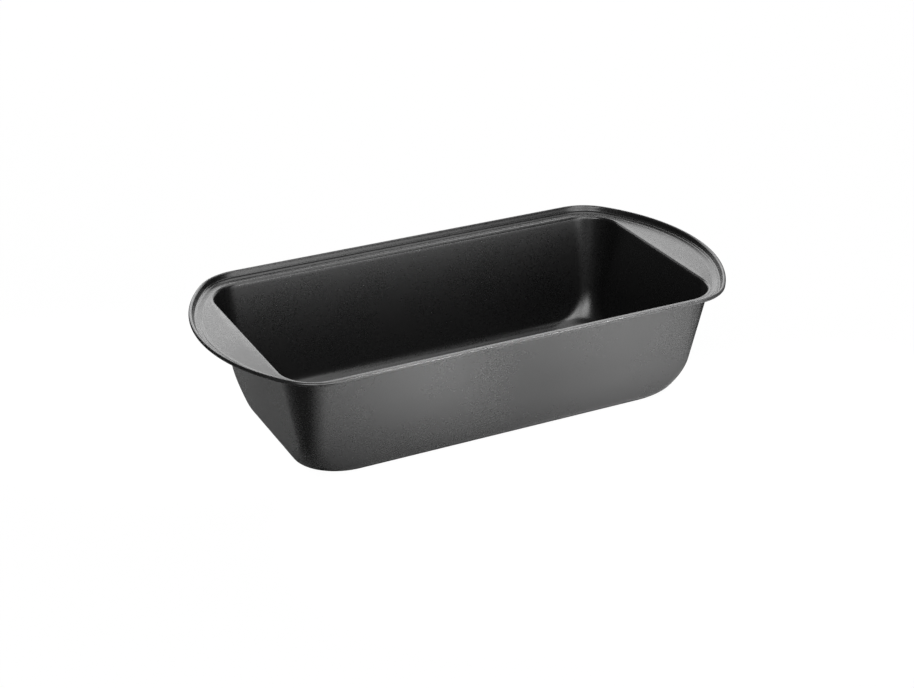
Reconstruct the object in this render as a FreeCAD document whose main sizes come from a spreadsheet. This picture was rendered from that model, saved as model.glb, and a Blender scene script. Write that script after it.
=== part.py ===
import FreeCAD, Part
import math
import os

import Sketcher

# A one-piece deep-drawn loaf pan. A steel sheet is pressed into a tub with drafted walls, a flat flange
# that widens into a crescent handle at each end, a rim that rises in two steps, and a bead rolled
# outwards at the edge. A non-stick coat covers each face of the sheet, and the sheet's cut edge stays
# bare inside the bead.
#
# Frame: origin in the middle of the base on the plane that it stands on, +X along the length, +Z up.
# Each skin is named by its depth: 0 is the food side of the steel, and depth grows towards the outside.

DIMENSIONS = {
    "overall_length": 290.0,
    "overall_width": 143.8,
    "overall_height": 65.9,
    "end_arc_radius": 96.5,
    "rim_corner_radius": 28.1,
    "mouth_length": 241.5,
    "mouth_width": 123.7,
    "mouth_corner_radius": 18.6,
    "foot_corner_radius": 6.1,
    "wall_draft": 11.5,
    "patch_radius": 20.6,
    "patch_height": 21.2,
    "bottom_edge_radius": 7.0,
    "lip_radius": 1.6,
    "lip_skirt": 1.0,
    "sheet_thickness": 0.5,
    "coat_thickness": 0.03,
    "flange_drop": 3.5,
    "flange_inset": 7.2,
    "cove_radius": 4.5,
    "crest_radius": 1.3,
    "cove_turn": 28.0,
    "step_height": 0.8,
    "ledge_width": 0.95,
    "ledge_radius": 0.6,
    "riser_turn": 68.0,
    "bead_radius": 1.0,
    "bead_turn": 273.0,
}

# Heights of the food side of the floor and of the flange, and of the cut between the walls and the lip.
FLOOR = "(Pan.coat_thickness + Pan.sheet_thickness)"
FLANGE = "(Pan.overall_height - Pan.coat_thickness - Pan.flange_drop)"
LIP_CUT = f"({FLANGE} - Pan.lip_radius - Pan.lip_skirt)"
PATCH_TOP = f"({FLOOR} + Pan.patch_height)"
DRAFT = "Pan.wall_draft"

# Each end of the rim is an arc that meets the straight sides through two smaller corner arcs.
END_HALF_ANGLE = (
    "asin((Pan.overall_width / 2 - Pan.rim_corner_radius)"
    " / (Pan.end_arc_radius - Pan.rim_corner_radius))"
)
STRAIGHT_HALF = (
    "(Pan.overall_length / 2 - Pan.end_arc_radius"
    f" + (Pan.end_arc_radius - Pan.rim_corner_radius) * cos({END_HALF_ANGLE}))"
)

# Each layer of the sheet lies between two depths.
LAYERS = {
    "pan_shell": ("0", "Pan.sheet_thickness"),
    "inside_coating": ("(0 - Pan.coat_thickness)", "0"),
    "outside_coating": ("Pan.sheet_thickness", "(Pan.sheet_thickness + Pan.coat_thickness)"),
}

# The bottom edge is rolled through these angles below the horizontal, ending at the floor.
BOTTOM_EDGE_ANGLES = (90, 72, 54, 36, 20)
# The corner patch fades out through these shares of its height above the bottom edge.
PATCH_SHARES = (0.3, 0.5, 0.75, 1.0)

document = FreeCAD.newDocument("loaf_pan")
pan = document.addObject("Spreadsheet::Sheet", "Pan")
for row, (alias, value) in enumerate(DIMENSIONS.items(), start=1):
    pan.set(f"A{row}", alias)
    pan.set(f"B{row}", str(value))
    pan.setAlias(f"B{row}", alias)
document.recompute()


def number(expression):
    """The present value of a sheet expression, with angles in degrees."""
    value = pan.evalExpression(expression)
    return float(getattr(value, "Value", value))


def line(length, fixed=True):
    """A straight stretch of a path. Unless fixed, the path's closing sets the length."""
    return ("line", length, None, fixed)


def arc(radius, turn, fixed=True):
    """An arc of a path, turning to the left if positive. Unless fixed, the path's closing sets the turn."""
    return ("arc", radius, turn, fixed)


def rounded_rectangle(length, width, corner):
    """A closed path round a rectangle with round corners, starting in the middle of the -Y side."""
    side = f"{length} - 2 * ({corner})"
    end = f"{width} - 2 * ({corner})"
    segments = [
        line(f"({side}) / 2"),
        arc(corner, "90"),
        line(end),
        arc(corner, "90"),
        line(side),
        arc(corner, "90"),
        line(end, fixed=False),
        arc(corner, "90", fixed=False),
        line(f"({side}) / 2", fixed=False),
    ]
    return f"0 - ({width}) / 2", segments


def rim_outline(inset):
    """A closed path inside the rim's outer edge by the inset, starting in the middle of the -Y side."""
    corner = f"Pan.rim_corner_radius - {inset}"
    end = f"Pan.end_arc_radius - {inset}"
    corner_turn = f"90 deg - {END_HALF_ANGLE}"
    end_turn = f"2 * {END_HALF_ANGLE}"
    segments = [
        line(STRAIGHT_HALF),
        arc(corner, corner_turn),
        arc(end, end_turn),
        arc(corner, corner_turn),
        line(f"2 * {STRAIGHT_HALF}"),
        arc(corner, corner_turn),
        arc(end, end_turn, fixed=False),
        arc(corner, corner_turn, fixed=False),
        line(STRAIGHT_HALF, fixed=False),
    ]
    return f"{inset} - Pan.overall_width / 2", segments


def bind(sketch, constraint, expression):
    """Adds a dimension to the sketch and binds it to the sheet."""
    index = sketch.addConstraint(constraint)
    sketch.renameConstraint(index, f"size{index}")
    sketch.setExpression(f"Constraints.size{index}", expression)


def trace(sketch, start, heading, segments, closed=False):
    """Draws a tangent path of lines and arcs, and returns its two ends as (edge, end) pairs."""
    here = FreeCAD.Vector(number(start[0]), number(start[1]), 0)
    angle = math.radians(number(heading))
    first = sketch.GeometryCount
    joints = []
    for kind, size, turn, fixed in segments:
        index = sketch.GeometryCount
        ahead = FreeCAD.Vector(math.cos(angle), math.sin(angle), 0)
        if kind == "line":
            there = here + ahead * number(size)
            sketch.addGeometry(Part.LineSegment(here, there))
            joints.append((index, 1, 2))
            if fixed:
                bind(sketch, Sketcher.Constraint("Distance", index, number(size)), size)
        else:
            span = math.radians(number(turn))
            side = math.copysign(1, span)
            radius = number(size)
            left = FreeCAD.Vector(-ahead.y, ahead.x, 0)
            centre = here + left * (side * radius)
            begin = math.atan2(here.y - centre.y, here.x - centre.x)
            angle += span
            circle = Part.Circle(centre, FreeCAD.Vector(0, 0, 1), radius)
            low, high = sorted((begin, begin + span))
            sketch.addGeometry(Part.ArcOfCircle(circle, low, high))
            there = centre + FreeCAD.Vector(math.cos(begin + span), math.sin(begin + span), 0) * radius
            joints.append((index, 1, 2) if side > 0 else (index, 2, 1))
            bind(sketch, Sketcher.Constraint("Radius", index, radius), size)
            if fixed:
                size_of_turn = turn if side > 0 else f"0 - ({turn})"
                bind(sketch, Sketcher.Constraint("Angle", index, abs(span)), size_of_turn)
        here = there
    bind(sketch, Sketcher.Constraint("DistanceX", -1, 1, first, 1, number(start[0])), start[0])
    bind(sketch, Sketcher.Constraint("DistanceY", -1, 1, first, 1, number(start[1])), start[1])
    bind(sketch, Sketcher.Constraint("Angle", first, math.radians(number(heading))), heading)
    pairs = list(zip(joints, joints[1:]))
    if closed:
        pairs.append((joints[-1], joints[0]))
    for before, after in pairs:
        sketch.addConstraint(Sketcher.Constraint("Tangent", before[0], before[2], after[0], after[1]))
    return (joints[0][0], joints[0][1]), (joints[-1][0], joints[-1][2])


def new_sketch(body, name, role, height="0"):
    """An empty sketch on one of the body's origin planes, raised by the height."""
    sketch = body.newObject("Sketcher::SketchObject", name)
    plane = next(feature for feature in body.Origin.OriginFeatures if feature.Role == role)
    sketch.AttachmentSupport = [(plane, "")]
    sketch.MapMode = "FlatFace"
    sketch.AttachmentOffset = FreeCAD.Placement(FreeCAD.Vector(0, 0, number(height)), FreeCAD.Rotation())
    if height != "0":
        sketch.setExpression("AttachmentOffset.Base.z", height)
    return sketch


def closed_sketch(body, name, height, outline):
    """A horizontal sketch of one closed path."""
    sketch = new_sketch(body, name, "XY_Plane", height)
    start, segments = outline
    trace(sketch, ("0", start), "0", segments, closed=True)
    return sketch


def wall_corner(height):
    """The plan radius of the tub's upright corners on the food side, at a height."""
    share = f"(({height}) - {FLOOR}) / ({FLANGE} - {FLOOR})"
    return f"Pan.foot_corner_radius + (Pan.mouth_corner_radius - Pan.foot_corner_radius) * {share}"


def patched_corner(height):
    """The same radius within the corner patch, where it grows towards the floor."""
    fade = f"(1 - (({height}) - {FLOOR}) / Pan.patch_height)"
    return f"{wall_corner(height)} + Pan.patch_radius * {fade} * {fade}"


def wall_plan(height, depth, corner):
    """The plan outline of one skin of the walls at a height."""
    spread = f"2 * ({depth} / cos({DRAFT}) - ({FLANGE} - ({height})) * tan({DRAFT}))"
    length = f"(Pan.mouth_length + {spread})"
    width = f"(Pan.mouth_width + {spread})"
    return rounded_rectangle(length, width, f"({corner} + {depth} / cos({DRAFT}))")


def bottom_edge_plan(angle, depth):
    """The height and plan outline of one skin where the bottom edge has rolled through an angle."""
    centre = f"({FLOOR} + Pan.bottom_edge_radius)"
    reach = f"(Pan.bottom_edge_radius + {depth})"
    height = f"{centre} - {reach} * sin({angle})"
    food_height = f"{centre} - Pan.bottom_edge_radius * sin({angle})"
    inset = f"(({FLANGE} - {centre}) * tan({DRAFT}) + Pan.bottom_edge_radius / cos({DRAFT}))"
    spread = f"2 * ({reach} * cos({angle}) - {inset})"
    length = f"(Pan.mouth_length + {spread})"
    width = f"(Pan.mouth_width + {spread})"
    corner = f"({patched_corner(food_height)} + {depth} * cos({angle}))"
    return height, rounded_rectangle(length, width, corner)


def loft(body, kind, name, sketches, ruled):
    feature = body.newObject(f"PartDesign::{kind}Loft", name)
    feature.Profile = sketches[0]
    feature.Sections = sketches[1:]
    feature.Ruled = ruled
    document.recompute()
    return feature


def tub(body, kind, depth):
    """Adds or removes the solid within one skin of the tub, from its floor to the cut below the lip."""
    lower = []
    for angle in BOTTOM_EDGE_ANGLES:
        height, outline = bottom_edge_plan(angle, depth)
        lower.append(closed_sketch(body, f"{kind}_edge_{angle}", height, outline))
    for share in PATCH_SHARES:
        height = f"{FLOOR} + Pan.patch_height * {share}"
        outline = wall_plan(height, depth, patched_corner(height))
        lower.append(closed_sketch(body, f"{kind}_patch_{round(share * 100)}", height, outline))
    top = closed_sketch(body, f"{kind}_top", LIP_CUT, wall_plan(LIP_CUT, depth, wall_corner(LIP_CUT)))
    walls = loft(body, kind, f"{kind}_walls", [lower[-1], top], ruled=True)
    foot = loft(body, kind, f"{kind}_foot", lower, ruled=False)
    return walls, foot


def lip_skin(depth):
    """One skin of the lip on the -Y side: a short stretch of wall, then the bend onto the flange."""
    bend = f"(Pan.lip_radius - {depth})"
    wall = f"0 - Pan.mouth_width / 2 - {depth} / cos({DRAFT}) + ({FLANGE} - {LIP_CUT}) * tan({DRAFT})"
    start = (wall, LIP_CUT)
    segments = [
        line(f"(Pan.lip_skirt + {bend} * sin({DRAFT})) / cos({DRAFT})"),
        arc(bend, f"90 - {DRAFT}"),
    ]
    return start, f"90 + {DRAFT}", segments


def rim_skin(depth):
    """One skin of the rim on the -Y side: flange, cove, crest, ledge, riser and bead."""
    cove_slope = "(Pan.step_height - (Pan.cove_radius + Pan.crest_radius) * (1 - cos(Pan.cove_turn)))"
    cove = f"({cove_slope} / sin(Pan.cove_turn))"
    riser_rise = "(Pan.flange_drop - Pan.step_height - (Pan.bead_radius + Pan.ledge_radius)"
    riser = f"({riser_rise} * (1 - cos(Pan.riser_turn))) / sin(Pan.riser_turn))"
    lead = (
        "Pan.flange_inset - Pan.coat_thickness - Pan.bead_radius - Pan.ledge_width"
        f" - (Pan.cove_radius + Pan.crest_radius) * sin(Pan.cove_turn) - {cove} * cos(Pan.cove_turn)"
        f" - (Pan.ledge_radius + Pan.bead_radius) * sin(Pan.riser_turn) - {riser} * cos(Pan.riser_turn)"
    )
    start = ("Pan.flange_inset - Pan.overall_width / 2", f"{FLANGE} - {depth}")
    segments = [
        line(lead),
        arc(f"Pan.cove_radius + {depth}", "0 - Pan.cove_turn"),
        line(cove),
        arc(f"Pan.crest_radius - {depth}", "Pan.cove_turn"),
        line("Pan.ledge_width"),
        arc(f"Pan.ledge_radius + {depth}", "0 - Pan.riser_turn"),
        line(riser),
        arc(f"Pan.bead_radius - {depth}", "Pan.bead_turn"),
    ]
    return start, "180", segments


def lip_outline():
    """A closed path along the top of the lip, where the bend meets the flange."""
    reach = f"(Pan.lip_radius / cos({DRAFT}))"
    spread = f"2 * ({reach} - Pan.lip_radius * tan({DRAFT}))"
    corner = f"({wall_corner(LIP_CUT)} + {reach} + Pan.lip_skirt * tan({DRAFT}))"
    return rounded_rectangle(f"(Pan.mouth_length + {spread})", f"(Pan.mouth_width + {spread})", corner)


def sheet_profile(body, name, skin, near, far):
    """A sketch across the sheet at X = 0, closed between the same stretch of two skins."""
    sketch = new_sketch(body, name, "YZ_Plane")
    ends = [trace(sketch, *skin(depth)) for depth in (near, far)]
    for near_end, far_end in zip(*ends):
        index = sketch.GeometryCount
        points = [sketch.getPoint(*end) for end in (near_end, far_end)]
        sketch.addGeometry(Part.LineSegment(*points))
        sketch.addConstraint(Sketcher.Constraint("Coincident", index, 1, *near_end))
        sketch.addConstraint(Sketcher.Constraint("Coincident", index, 2, *far_end))
    return sketch


def sweep(body, name, profile, path):
    feature = body.newObject("PartDesign::AdditivePipe", name)
    feature.Profile = profile
    feature.Spine = path
    document.recompute()
    return feature


def build_layer(label, near, far):
    """One layer of the sheet as a body: the tub's walls and floor, the lip, the flange and the rim."""
    body = document.addObject("PartDesign::Body", label)
    body.Label = label
    tub(body, "Additive", far)
    tub(body, "Subtractive", near)

    lip_path = closed_sketch(body, "lip_path", LIP_CUT, wall_plan(LIP_CUT, "0", wall_corner(LIP_CUT)))
    sweep(body, "lip", sheet_profile(body, "lip_profile", lip_skin, near, far), lip_path)

    plate = closed_sketch(body, "flange_plate", f"{FLANGE} - {far}", rim_outline("Pan.flange_inset"))
    start, segments = lip_outline()
    trace(plate, ("0", start), "0", segments, closed=True)
    flange = body.newObject("PartDesign::Pad", "flange")
    flange.Profile = plate
    flange.setExpression("Length", f"{far} - {near}")
    document.recompute()

    rim_path = closed_sketch(body, "rim_path", FLANGE, rim_outline("Pan.flange_inset"))
    sweep(body, "rim", sheet_profile(body, "rim_profile", rim_skin, near, far), rim_path)
    return body


layers = [build_layer(label, near, far) for label, (near, far) in LAYERS.items()]
document.recompute()

for item in document.Objects:
    if "Invalid" in item.State or "Error" in item.State:
        raise RuntimeError(f"{item.Label} did not recompute: {item.State}")

os.makedirs("parts", exist_ok=True)
for body in layers:
    shape = body.Shape
    if shape.isNull() or not shape.isValid():
        raise RuntimeError(f"{body.Label} has no valid shape")
    shape.exportStep(f"parts/{body.Label}.step")
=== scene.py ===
import math

import bmesh
import bpy
import numpy as np
from mathutils import Matrix, Vector


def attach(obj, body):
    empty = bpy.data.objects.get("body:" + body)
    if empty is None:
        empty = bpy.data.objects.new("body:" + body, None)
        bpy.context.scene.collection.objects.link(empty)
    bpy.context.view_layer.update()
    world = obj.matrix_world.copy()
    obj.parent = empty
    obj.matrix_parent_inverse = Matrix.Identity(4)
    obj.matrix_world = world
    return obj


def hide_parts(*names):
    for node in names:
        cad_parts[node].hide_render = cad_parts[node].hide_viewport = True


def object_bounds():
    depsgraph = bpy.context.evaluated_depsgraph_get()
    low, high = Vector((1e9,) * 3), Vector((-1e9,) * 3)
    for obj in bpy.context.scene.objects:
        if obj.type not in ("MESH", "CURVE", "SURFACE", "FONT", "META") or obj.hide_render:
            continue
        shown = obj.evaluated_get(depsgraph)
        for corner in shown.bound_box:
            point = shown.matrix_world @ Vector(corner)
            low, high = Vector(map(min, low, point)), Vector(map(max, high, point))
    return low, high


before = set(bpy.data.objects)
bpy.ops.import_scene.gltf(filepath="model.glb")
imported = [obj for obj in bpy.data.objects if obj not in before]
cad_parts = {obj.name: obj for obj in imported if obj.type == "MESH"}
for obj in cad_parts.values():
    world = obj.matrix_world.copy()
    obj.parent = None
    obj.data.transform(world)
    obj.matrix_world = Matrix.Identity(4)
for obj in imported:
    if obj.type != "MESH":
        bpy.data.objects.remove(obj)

MM = 0.001

# The pan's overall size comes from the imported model, to the nearest 0.1 mm.
CAD_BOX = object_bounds()
LENGTH, WIDTH, HEIGHT = (round(high - low, 4) for low, high in zip(*CAD_BOX))

# Layers, counted in depth from the food side of the steel and outwards.
SHEET = 0.5 * MM
COAT = 0.03 * MM

# Tub: a drawn box with leaning walls, whose corners tighten downwards and round off again above the floor.
MOUTH_LENGTH = 241.5 * MM
MOUTH_WIDTH = 123.7 * MM
MOUTH_CORNER = 18.6 * MM
FOOT_CORNER = 6.1 * MM
DRAFT = math.radians(11.5)
PATCH_RADIUS = 20.6 * MM
PATCH_HEIGHT = 21.2 * MM
BOTTOM_EDGE = 7.0 * MM
LIP_RADIUS = 1.6 * MM
LIP_SKIRT = 1.0 * MM

# Rim: a flat flange, a shallow step up to a ledge, and a steep riser into the rolled bead.
END_ARC = 96.5 * MM
RIM_CORNER = 28.1 * MM
FLANGE_DROP = 3.5 * MM
FLANGE_INSET = 7.2 * MM
COVE_RADIUS = 4.5 * MM
CREST_RADIUS = 1.3 * MM
COVE_TURN = math.radians(28)
STEP_HEIGHT = 0.8 * MM
LEDGE_WIDTH = 0.95 * MM
LEDGE_RADIUS = 0.6 * MM
RISER_TURN = math.radians(68)
BEAD_RADIUS = 1.0 * MM
BEAD_TURN = math.radians(273)

# Heights of the steel's food side.
FLOOR = COAT + SHEET
FLANGE = HEIGHT - COAT - FLANGE_DROP
LIP_CUT = FLANGE - LIP_RADIUS - LIP_SKIRT

# Mesh density, in segments, over a quarter of the pan.
SIDE_STEPS = 20
END_STEPS = 16
CORNER_STEPS = 24
# The way round the rim's end arc at which the mouth's corner starts.
END_SPLIT = math.radians(30)

# Colours, in linear light, and how strongly the coat shines.
COAT_DARK = (0.003, 0.003, 0.0031)
COAT_LIGHT = (0.006, 0.006, 0.0061)
COAT_WORN = (0.018, 0.018, 0.0182)
COAT_SPECULAR = 0.8
STEEL_DARK = (0.42, 0.42, 0.43)
STEEL_LIGHT = (0.62, 0.62, 0.63)

# The mesh's own measure of how much each point gets rubbed in use, and the bend from ring to ring at which
# it is full.
WEAR = "wear"
FULL_BEND = math.radians(6)

# The range that a noise's values mostly keep to.
NOISE_LOW = 0.3
NOISE_HIGH = 0.7

# Points closer than this are one, and edges that turn more than this look sharp.
SAME_POINT = 0.001 * MM
SHARP_TURN = math.radians(50)


# ---------------------------------------------------------------- outlines

def spread(start, stop, steps):
    """Evenly spaced values from start, leaving out stop, which opens the next stretch."""
    return np.linspace(start, stop, steps, endpoint=False)


def mirrored(stretches, half_width):
    """A closed loop, seen from above, from the stretches of its first quarter, from the end to the side."""
    x, y = (np.concatenate(axis) for axis in zip(*stretches))
    first = np.column_stack([x, y])
    half = np.concatenate([first, [(0.0, half_width)], first[:0:-1] * (-1, 1)])
    return np.concatenate([half, [(-x[0], 0.0)], half[:0:-1] * (1, -1)])


def tub_loop(half_length, half_width, corner):
    """The rounded rectangle that the tub has at one height."""
    corner_x = half_length - corner
    corner_y = half_width - corner
    angle = spread(0, math.pi / 2, CORNER_STEPS)
    stretches = [
        (np.full(END_STEPS, half_length), spread(0, corner_y, END_STEPS)),
        (corner_x + corner * np.cos(angle), corner_y + corner * np.sin(angle)),
        (spread(corner_x, 0, SIDE_STEPS), np.full(SIDE_STEPS, half_width)),
    ]
    return mirrored(stretches, half_width)


def rim_loop(inset):
    """The rim's outline, that far inside its outer edge: straight sides, rounded corners and bowed ends."""
    lean = math.asin((WIDTH / 2 - RIM_CORNER) / (END_ARC - RIM_CORNER))
    end_x = LENGTH / 2 - END_ARC
    corner_x = end_x + (END_ARC - RIM_CORNER) * math.cos(lean)
    corner_y = WIDTH / 2 - RIM_CORNER
    turn = spread(0, math.pi / 2, CORNER_STEPS)
    turn = np.where(turn < lean, END_SPLIT + (lean - END_SPLIT) * turn / lean, turn)
    turn = np.concatenate([spread(0, END_SPLIT, END_STEPS), turn])
    bowed = turn < lean
    radius = np.where(bowed, END_ARC, RIM_CORNER) - inset
    x = np.where(bowed, end_x, corner_x) + radius * np.cos(turn)
    y = np.where(bowed, 0, corner_y) + radius * np.sin(turn)
    half_width = WIDTH / 2 - inset
    side = (spread(corner_x, 0, SIDE_STEPS), np.full(SIDE_STEPS, half_width))
    return mirrored([(x, y), side], half_width)


# ---------------------------------------------------------------- profile

def trace(start, moves):
    """Points (outwards, height, heading) along moves (length, turn, steps). A positive turn bends up."""
    outwards, height, heading = start
    points = []
    for length, turn, steps in moves:
        bend = turn / steps
        chord = length / steps
        if turn:
            chord = 2 * length / abs(turn) * math.sin(abs(bend) / 2)
        for _ in range(steps):
            outwards += chord * math.cos(heading + bend / 2)
            height += chord * math.sin(heading + bend / 2)
            heading += bend
            points.append((outwards, height, heading))
    return points


def arc(radius, turn, steps):
    """A move that turns by that angle round that radius."""
    return radius * abs(turn), turn, steps


def corner_at(height):
    """The upright corner's radius on the food side, between the floor and the lip."""
    share = (height - FLOOR) / (FLANGE - FLOOR)
    patch = max(0.0, 1 - (height - FLOOR) / PATCH_HEIGHT)
    return FOOT_CORNER + (MOUTH_CORNER - FOOT_CORNER) * share + PATCH_RADIUS * patch**2


def tub_row(outwards, height, heading, cut_outwards):
    """One ring of the tub, as (loop for an outward shift, height, heading)."""
    if height > LIP_CUT:
        corner = corner_at(LIP_CUT) + outwards - cut_outwards
    else:
        corner = corner_at(height)

    def loop(shift):
        grown = outwards + shift
        return tub_loop(MOUTH_LENGTH / 2 + grown, MOUTH_WIDTH / 2 + grown, corner + shift)

    return loop, height, heading


def rim_row(outwards, height, heading):
    """One ring of the rim, as (loop for an outward shift, height, heading)."""
    return lambda shift: rim_loop(FLANGE_INSET - outwards - shift), height, heading


def flat_row(inner, outer, share, height):
    """A level ring part of the way between two loops."""
    return lambda shift: inner * (1 - share) + outer * share, height, 0.0


def tub_rows():
    """The rings of the food side from the floor's edge to the top of the lip."""
    edge_centre = FLOOR + BOTTOM_EDGE
    foot = -(FLANGE - edge_centre) * math.tan(DRAFT) - BOTTOM_EDGE / math.cos(DRAFT)
    edge_top = edge_centre - BOTTOM_EDGE * math.sin(DRAFT)
    patch_top = FLOOR + PATCH_HEIGHT
    lip_start = FLANGE - LIP_RADIUS + LIP_RADIUS * math.sin(DRAFT)
    upright = math.pi / 2 - DRAFT
    moves = [
        arc(BOTTOM_EDGE, upright, 10),
        ((patch_top - edge_top) / math.cos(DRAFT), 0, 10),
        ((LIP_CUT - patch_top) / math.cos(DRAFT), 0, 8),
        ((lip_start - LIP_CUT) / math.cos(DRAFT), 0, 1),
        arc(LIP_RADIUS, -upright, 10),
    ]
    start = (foot, FLOOR, 0.0)
    cut_outwards = -(FLANGE - LIP_CUT) * math.tan(DRAFT)
    return [tub_row(*point, cut_outwards) for point in [start, *trace(start, moves)]]


def rim_rows():
    """The rings of the food side from the flange's outer part to the cut edge inside the rolled bead."""
    slope = (STEP_HEIGHT - (COVE_RADIUS + CREST_RADIUS) * (1 - math.cos(COVE_TURN))) / math.sin(COVE_TURN)
    climb = FLANGE_DROP - STEP_HEIGHT
    riser = (climb - (BEAD_RADIUS + LEDGE_RADIUS) * (1 - math.cos(RISER_TURN))) / math.sin(RISER_TURN)
    lead = (
        FLANGE_INSET
        - COAT
        - BEAD_RADIUS
        - LEDGE_WIDTH
        - (COVE_RADIUS + CREST_RADIUS) * math.sin(COVE_TURN)
        - slope * math.cos(COVE_TURN)
        - (LEDGE_RADIUS + BEAD_RADIUS) * math.sin(RISER_TURN)
        - riser * math.cos(RISER_TURN)
    )
    moves = [
        (lead, 0, 1),
        arc(COVE_RADIUS, COVE_TURN, 8),
        (slope, 0, 1),
        arc(CREST_RADIUS, -COVE_TURN, 8),
        (LEDGE_WIDTH, 0, 2),
        arc(LEDGE_RADIUS, RISER_TURN, 8),
        (riser, 0, 2),
        arc(BEAD_RADIUS, -BEAD_TURN, 36),
    ]
    start = (0.0, FLANGE, 0.0)
    return [rim_row(*point) for point in [start, *trace(start, moves)]]


def all_rows():
    """Every ring of the steel's food side, from the middle of the floor to the cut edge."""
    tub = tub_rows()
    rim = rim_rows()
    foot = tub[0][0](0)
    ridge = foot[:, 0].max() - foot[:, 1].max()
    spine = np.column_stack([np.clip(foot[:, 0], -ridge, ridge), np.zeros(len(foot))])
    lip = tub[-1][0](0)
    flange_end = rim[0][0](0)
    floor = [flat_row(spine, foot, share, FLOOR) for share in spread(0, 1, 4)]
    flange = [flat_row(lip, flange_end, share, FLANGE) for share in (0.25, 0.5, 0.75)]
    return [*floor, *tub, *flange, *rim]


def skin(rows, depth):
    """The pan's surface at a depth behind the steel's food side, as rings of points."""
    rings = []
    for loop, height, heading in rows:
        ring = loop(depth * math.sin(heading))
        level = np.full(len(ring), height - depth * math.cos(heading))
        rings.append(np.column_stack([ring, level]))
    return np.array(rings)


def rubbing(rows):
    """How rubbed each ring is, from 0 to 1: most where the steel bends high up, at the lip and the bead."""
    height, heading = (np.array([row[part] for row in rows]) for part in (1, 2))
    bend = np.abs(np.gradient(heading))
    bent = np.clip(bend / FULL_BEND, 0, 1)
    high = np.clip((height - FLANGE + LIP_RADIUS) / LIP_RADIUS, 0, 1)
    return bent * high


# ---------------------------------------------------------------- pieces

def layer(name, rows, inner_depth, outer_depth, material):
    """A closed layer of the pan between two depths, replacing the CAD node of that name."""
    inner = skin(rows, inner_depth)
    outer = skin(rows, outer_depth)
    rings, around = inner.shape[:2]
    points = np.concatenate([inner, outer[::-1]]).reshape(-1, 3)
    rub = rubbing(rows)
    rub = np.repeat(np.concatenate([rub, rub[::-1]]), around)
    first = np.arange(2 * rings - 1)[:, None] * around
    here = np.arange(around)[None, :]
    beside = (here + 1) % around
    quads = np.stack([first + here, first + beside, first + around + beside, first + around + here], axis=-1)
    mesh = bpy.data.meshes.new(name)
    mesh.from_pydata(points.tolist(), [], quads.reshape(-1, 4).tolist())
    mesh.attributes.new(WEAR, "FLOAT", "POINT").data.foreach_set("value", rub)
    work = bmesh.new()
    work.from_mesh(mesh)
    bmesh.ops.remove_doubles(work, verts=work.verts, dist=SAME_POINT)
    bmesh.ops.recalc_face_normals(work, faces=work.faces)
    work.to_mesh(mesh)
    work.free()
    mesh.shade_smooth()
    mesh.set_sharp_from_angle(angle=SHARP_TURN)
    mesh.materials.append(material)
    piece = bpy.data.objects.new(name + "_finish", mesh)
    bpy.context.scene.collection.objects.link(piece)
    return piece


# ---------------------------------------------------------------- materials

def new_material(name):
    """A material with only a Principled shader and an output, as (material, tree, shader)."""
    material = bpy.data.materials.new(name)
    material.use_nodes = True
    tree = material.node_tree
    tree.nodes.clear()
    shader = tree.nodes.new("ShaderNodeBsdfPrincipled")
    output = tree.nodes.new("ShaderNodeOutputMaterial")
    tree.links.new(shader.outputs["BSDF"], output.inputs["Surface"])
    return material, tree, shader


def object_noise(tree, feature, detail, stretch=(1, 1, 1)):
    """Noise in the piece's own coordinates whose blobs are about that many metres across."""
    place = tree.nodes.new("ShaderNodeTexCoord")
    fit = tree.nodes.new("ShaderNodeMapping")
    fit.inputs["Scale"].default_value = stretch
    noise = tree.nodes.new("ShaderNodeTexNoise")
    noise.inputs["Scale"].default_value = 1 / feature
    noise.inputs["Detail"].default_value = detail
    tree.links.new(place.outputs["Object"], fit.inputs["Vector"])
    tree.links.new(fit.outputs["Vector"], noise.inputs["Vector"])
    return noise.outputs["Fac"]


def between(tree, factor, low, high):
    """The number that runs from low to high as the factor, a noise, runs over its usual range."""
    ramp = tree.nodes.new("ShaderNodeMapRange")
    ramp.inputs["From Min"].default_value = NOISE_LOW
    ramp.inputs["From Max"].default_value = NOISE_HIGH
    ramp.inputs["To Min"].default_value = low
    ramp.inputs["To Max"].default_value = high
    tree.links.new(factor, ramp.inputs["Value"])
    return ramp.outputs["Result"]


def combine(tree, operation, first, second):
    """One maths node fed by two sockets."""
    node = tree.nodes.new("ShaderNodeMath")
    node.operation = operation
    tree.links.new(first, node.inputs[0])
    tree.links.new(second, node.inputs[1])
    return node.outputs["Value"]


def tinted(tree, factor, dark, light):
    """The colour that runs from dark to light as the factor runs from 0 to 1."""
    mix = tree.nodes.new("ShaderNodeMix")
    mix.data_type = "RGBA"
    mix.inputs["A"].default_value = (*dark, 1)
    mix.inputs["B"].default_value = (*light, 1)
    tree.links.new(factor, mix.inputs["Factor"])
    return mix.outputs["Result"]


def bump(tree, shader, height, distance, strength):
    """Fine relief on the shader, its peaks that many metres high."""
    node = tree.nodes.new("ShaderNodeBump")
    node.inputs["Distance"].default_value = distance
    node.inputs["Strength"].default_value = strength
    tree.links.new(height, node.inputs["Height"])
    tree.links.new(node.outputs["Normal"], shader.inputs["Normal"])


def wear(tree, patchiness):
    """How rubbed the coat is, from 0 to 1: the mesh's own wear on its rolled edges, broken up by a noise."""
    rubbed = tree.nodes.new("ShaderNodeAttribute")
    rubbed.attribute_name = WEAR
    return combine(tree, "MULTIPLY", rubbed.outputs["Fac"], patchiness)


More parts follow.
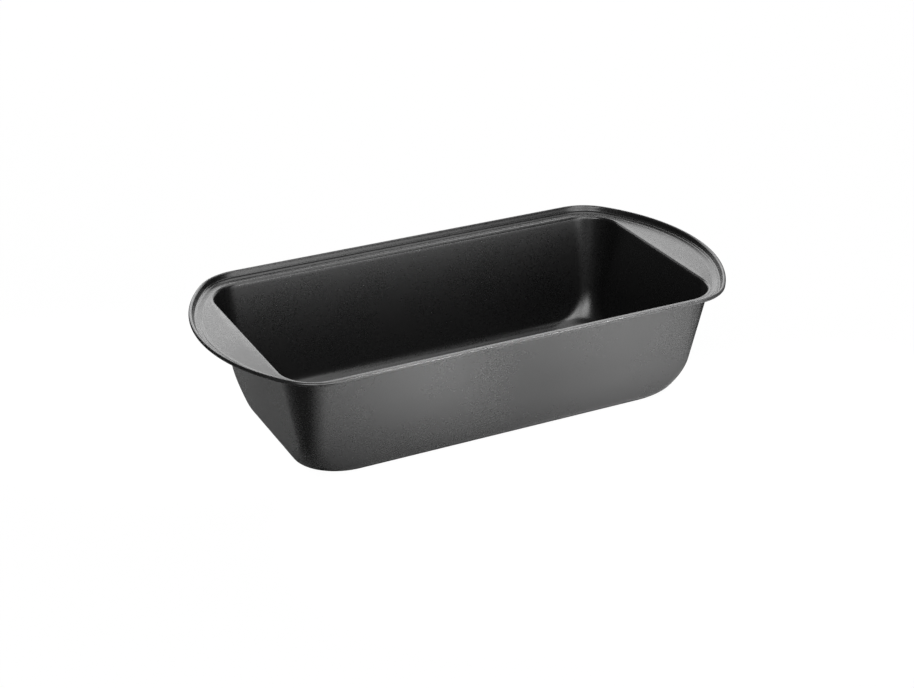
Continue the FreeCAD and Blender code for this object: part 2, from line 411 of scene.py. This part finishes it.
def coat_colour(tree, shader, speckle, cloud, rubbed):
    """The coat's colour: its grain runs from dark to light, and rubbed edges are greyer."""
    grain = combine(tree, "MULTIPLY", between(tree, speckle, 0.0, 1.0), between(tree, cloud, 0.8, 1.0))
    mix = tree.nodes.new("ShaderNodeMix")
    mix.data_type = "RGBA"
    mix.inputs["B"].default_value = (*COAT_WORN, 1)
    tree.links.new(tinted(tree, grain, COAT_DARK, COAT_LIGHT), mix.inputs["A"])
    tree.links.new(rubbed, mix.inputs["Factor"])
    tree.links.new(mix.outputs["Result"], shader.inputs["Base Color"])


def coat_gloss(tree, shader, rough, polish):
    """The coat's roughness, less what rubbing has polished away."""
    tree.links.new(combine(tree, "SUBTRACT", rough, polish), shader.inputs["Roughness"])
    shader.inputs["Specular IOR Level"].default_value = COAT_SPECULAR


def inside_coat():
    """Non-stick coat of the food side: near black, satin, with a fine spray grain and polished edges."""
    material, tree, shader = new_material("inside_nonstick")
    speckle = object_noise(tree, 0.9 * MM, 1)
    cloud = object_noise(tree, 30 * MM, 3)
    rubbed = wear(tree, between(tree, object_noise(tree, 5 * MM, 4), 0.2, 1))
    coat_colour(tree, shader, speckle, cloud, rubbed)
    rough = combine(tree, "ADD", between(tree, cloud, 0.25, 0.28), between(tree, speckle, 0.0, 0.05))
    polish = combine(tree, "MULTIPLY", rubbed, between(tree, cloud, 0.08, 0.12))
    coat_gloss(tree, shader, rough, polish)
    bump(tree, shader, speckle, 0.03 * MM, 0.35)
    return material


def outside_coat():
    """Non-stick coat of the outer side: dark like the inside, with coarser grain and less polished edges."""
    material, tree, shader = new_material("outside_nonstick")
    speckle = object_noise(tree, 1.0 * MM, 1)
    cloud = object_noise(tree, 45 * MM, 3)
    rubbed = wear(tree, between(tree, object_noise(tree, 4 * MM, 4), 0.0, 1))
    coat_colour(tree, shader, speckle, cloud, rubbed)
    rough = combine(tree, "ADD", between(tree, cloud, 0.24, 0.29), between(tree, speckle, 0.0, 0.05))
    polish = combine(tree, "MULTIPLY", rubbed, between(tree, cloud, 0.06, 0.10))
    coat_gloss(tree, shader, rough, polish)
    bump(tree, shader, speckle, 0.04 * MM, 0.45)
    return material


def sheet_steel():
    """Bare rolled steel: grey, with fine lines along the sheet and a faint cloudiness."""
    material, tree, shader = new_material("rolled_steel")
    lines = object_noise(tree, 0.5 * MM, 3, (0.03, 1, 1))
    cloud = object_noise(tree, 20 * MM, 3)
    tone = combine(tree, "MULTIPLY", between(tree, lines, 0.4, 1.0), between(tree, cloud, 0.8, 1.0))
    tree.links.new(tinted(tree, tone, STEEL_DARK, STEEL_LIGHT), shader.inputs["Base Color"])
    tree.links.new(between(tree, lines, 0.28, 0.42), shader.inputs["Roughness"])
    shader.inputs["Metallic"].default_value = 1
    bump(tree, shader, lines, 0.005 * MM, 0.5)
    return material


# ---------------------------------------------------------------- stage

CAMERA_AZIMUTH = math.radians(-26.91)
CAMERA_ELEVATION = math.radians(26.19)
CAMERA_ROLL = math.radians(0.15)
CAMERA_DISTANCE = 1.0554
CAMERA_TARGET = Vector((0.02642, 0.05836, 0))
CAMERA_LENS = 73.01
SENSOR_WIDTH = 36

# Softboxes, as (name, azimuth, elevation, brightness). A light's angles are in degrees, and its azimuth
# turns from +X towards +Y.
SOFTBOX_DISTANCE = 1.1
SOFTBOX_ACROSS = 0.6
SOFTBOXES = (
    ("backdrop_right", 63, 25, 2.6),
    ("backdrop_left", 93, 25, 2.6),
    ("side", 33, 25, 1.3),
    ("overhead", 45, 68, 1.8),
    ("high_front", 270, 45, 4.0),
    ("high_left", 225, 45, 4.6),
    ("front", 273, 25, 1.4),
    ("front_left", 243, 25, 1.5),
    ("low_front", 290, 8, 3.8),
    ("high_right", 315, 68, 1.6),
)

# Spots that wash the table, as (name, azimuth, elevation, (x, y) aimed at, cone in degrees, watts).
SPOT_DISTANCE = 0.85
SPOT_ACROSS = 0.06
SPOT_SOFTNESS = 0.25
SPOTS = (
    ("wash_left_end", 140, 40, (-0.16, 0.08), 12, 100),
    ("wash_near_left", 301, 70, (-0.05, -0.13), 10, 400),
    ("wash_near", 301, 70, (0.06, -0.163), 16, 410),
    ("wash_near_right", 301, 70, (0.16, -0.195), 19, 305),
)

# The dim even light from all around.
ROOM_LIGHT = 0.02

# The table top: how far it spreads each way, how evenly lit and how bright it looks to the camera, and the
# colour it shows to everything else.
TABLE_REACH = 4.0
TABLE_EVENNESS = 0.85
TABLE_GLOW = 1.16
TABLE_BOUNCE = (0.1, 0.1, 0.1)
WHITE = (1, 1, 1, 1)


def make_camera():
    """The camera. Its azimuth starts straight in front of the long side, and its roll is about its axis."""
    camera = bpy.data.objects.new("camera", bpy.data.cameras.new("camera"))
    back = Vector((
        math.sin(CAMERA_AZIMUTH) * math.cos(CAMERA_ELEVATION),
        -math.cos(CAMERA_AZIMUTH) * math.cos(CAMERA_ELEVATION),
        math.sin(CAMERA_ELEVATION),
    ))
    right = Vector((math.cos(CAMERA_AZIMUTH), math.sin(CAMERA_AZIMUTH), 0))
    up = back.cross(right)
    turned_right = right * math.cos(CAMERA_ROLL) + up * math.sin(CAMERA_ROLL)
    turned_up = up * math.cos(CAMERA_ROLL) - right * math.sin(CAMERA_ROLL)
    axes = Matrix((turned_right, turned_up, back)).transposed()
    camera.matrix_world = Matrix.Translation(CAMERA_TARGET + back * CAMERA_DISTANCE) @ axes.to_4x4()
    camera.data.lens = CAMERA_LENS
    camera.data.sensor_width = SENSOR_WIDTH
    bpy.context.scene.collection.objects.link(camera)
    bpy.context.scene.camera = camera


def make_floor():
    """The pale table top, broad enough to run out of every view."""
    mesh = bpy.data.meshes.new("floor")
    corners = [(x * TABLE_REACH, y * TABLE_REACH, 0) for x, y in ((-1, -1), (1, -1), (1, 1), (-1, 1))]
    mesh.from_pydata(corners, [], [(0, 1, 2, 3)])
    mesh.materials.append(table_top())
    floor = bpy.data.objects.new("floor", mesh)
    bpy.context.scene.collection.objects.link(floor)


def table_top():
    """A table that looks near white and even to the camera, but dark in the coat except where washed."""
    material = bpy.data.materials.new("table_top")
    material.use_nodes = True
    tree = material.node_tree
    tree.nodes.clear()
    matt = tree.nodes.new("ShaderNodeBsdfDiffuse")
    matt.inputs["Color"].default_value = (*TABLE_BOUNCE, 1)
    glow = tree.nodes.new("ShaderNodeEmission")
    glow.inputs["Color"].default_value = WHITE
    glow.inputs["Strength"].default_value = TABLE_GLOW
    path = tree.nodes.new("ShaderNodeLightPath")
    share = tree.nodes.new("ShaderNodeMath")
    share.operation = "MULTIPLY"
    share.inputs[1].default_value = TABLE_EVENNESS
    tree.links.new(path.outputs["Is Camera Ray"], share.inputs[0])
    mix = tree.nodes.new("ShaderNodeMixShader")
    tree.links.new(share.outputs["Value"], mix.inputs["Fac"])
    tree.links.new(matt.outputs["BSDF"], mix.inputs[1])
    tree.links.new(glow.outputs["Emission"], mix.inputs[2])
    output = tree.nodes.new("ShaderNodeOutputMaterial")
    tree.links.new(mix.outputs["Shader"], output.inputs["Surface"])
    return material


def hang(light, azimuth, elevation, distance, aim):
    """Puts a light that far from the point it faces, in that direction."""
    turn = math.radians(azimuth)
    climb = math.radians(elevation)
    toward = Vector((math.cos(turn) * math.cos(climb), math.sin(turn) * math.cos(climb), math.sin(climb)))
    lamp = bpy.data.objects.new(light.name, light)
    lamp.location = aim + toward * distance
    lamp.rotation_euler = toward.to_track_quat("Z", "Y").to_euler()
    bpy.context.scene.collection.objects.link(lamp)


def softbox(name, azimuth, elevation, brightness):
    """A round soft light facing the pan."""
    light = bpy.data.lights.new(name, "AREA")
    light.shape = "DISK"
    light.size = SOFTBOX_ACROSS
    light.energy = brightness * math.pi**2 * (SOFTBOX_ACROSS / 2) ** 2
    hang(light, azimuth, elevation, SOFTBOX_DISTANCE, Vector((0, 0, 0)))


def spot(name, azimuth, elevation, aim, cone, watts):
    """A soft-edged spot on part of the table."""
    light = bpy.data.lights.new(name, "SPOT")
    light.energy = watts
    light.spot_size = math.radians(cone)
    light.spot_blend = SPOT_SOFTNESS
    light.shadow_soft_size = SPOT_ACROSS / 2
    hang(light, azimuth, elevation, SPOT_DISTANCE, Vector((*aim, 0)))


def make_room():
    """Even dim light from all around, which the camera sees as white."""
    world = bpy.data.worlds.new("studio")
    world.use_nodes = True
    tree = world.node_tree
    dim = tree.nodes["Background"]
    dim.inputs["Color"].default_value = WHITE
    dim.inputs["Strength"].default_value = ROOM_LIGHT
    white = tree.nodes.new("ShaderNodeBackground")
    white.inputs["Color"].default_value = WHITE
    path = tree.nodes.new("ShaderNodeLightPath")
    mix = tree.nodes.new("ShaderNodeMixShader")
    tree.links.new(path.outputs["Is Camera Ray"], mix.inputs["Fac"])
    tree.links.new(dim.outputs["Background"], mix.inputs[1])
    tree.links.new(white.outputs["Background"], mix.inputs[2])
    tree.links.new(mix.outputs["Shader"], tree.nodes["World Output"].inputs["Surface"])
    bpy.context.scene.world = world


make_camera()
make_floor()
make_room()
for box in SOFTBOXES:
    softbox(*box)
for beam in SPOTS:
    spot(*beam)
rows = all_rows()
inside = layer("inside_coating", rows, -COAT, 0, inside_coat())
shell = layer("pan_shell", rows, 0, SHEET, sheet_steel())
outside = layer("outside_coating", rows, SHEET, SHEET + COAT, outside_coat())
for piece, node, slot in (
    (inside, "inside_coating", "inside_coat"),
    (shell, "pan_shell", "sheet_steel"),
    (outside, "outside_coating", "outside_coat"),
):
    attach(piece, "root")
    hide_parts(node)

bpy.context.scene.view_settings.view_transform = "Standard"
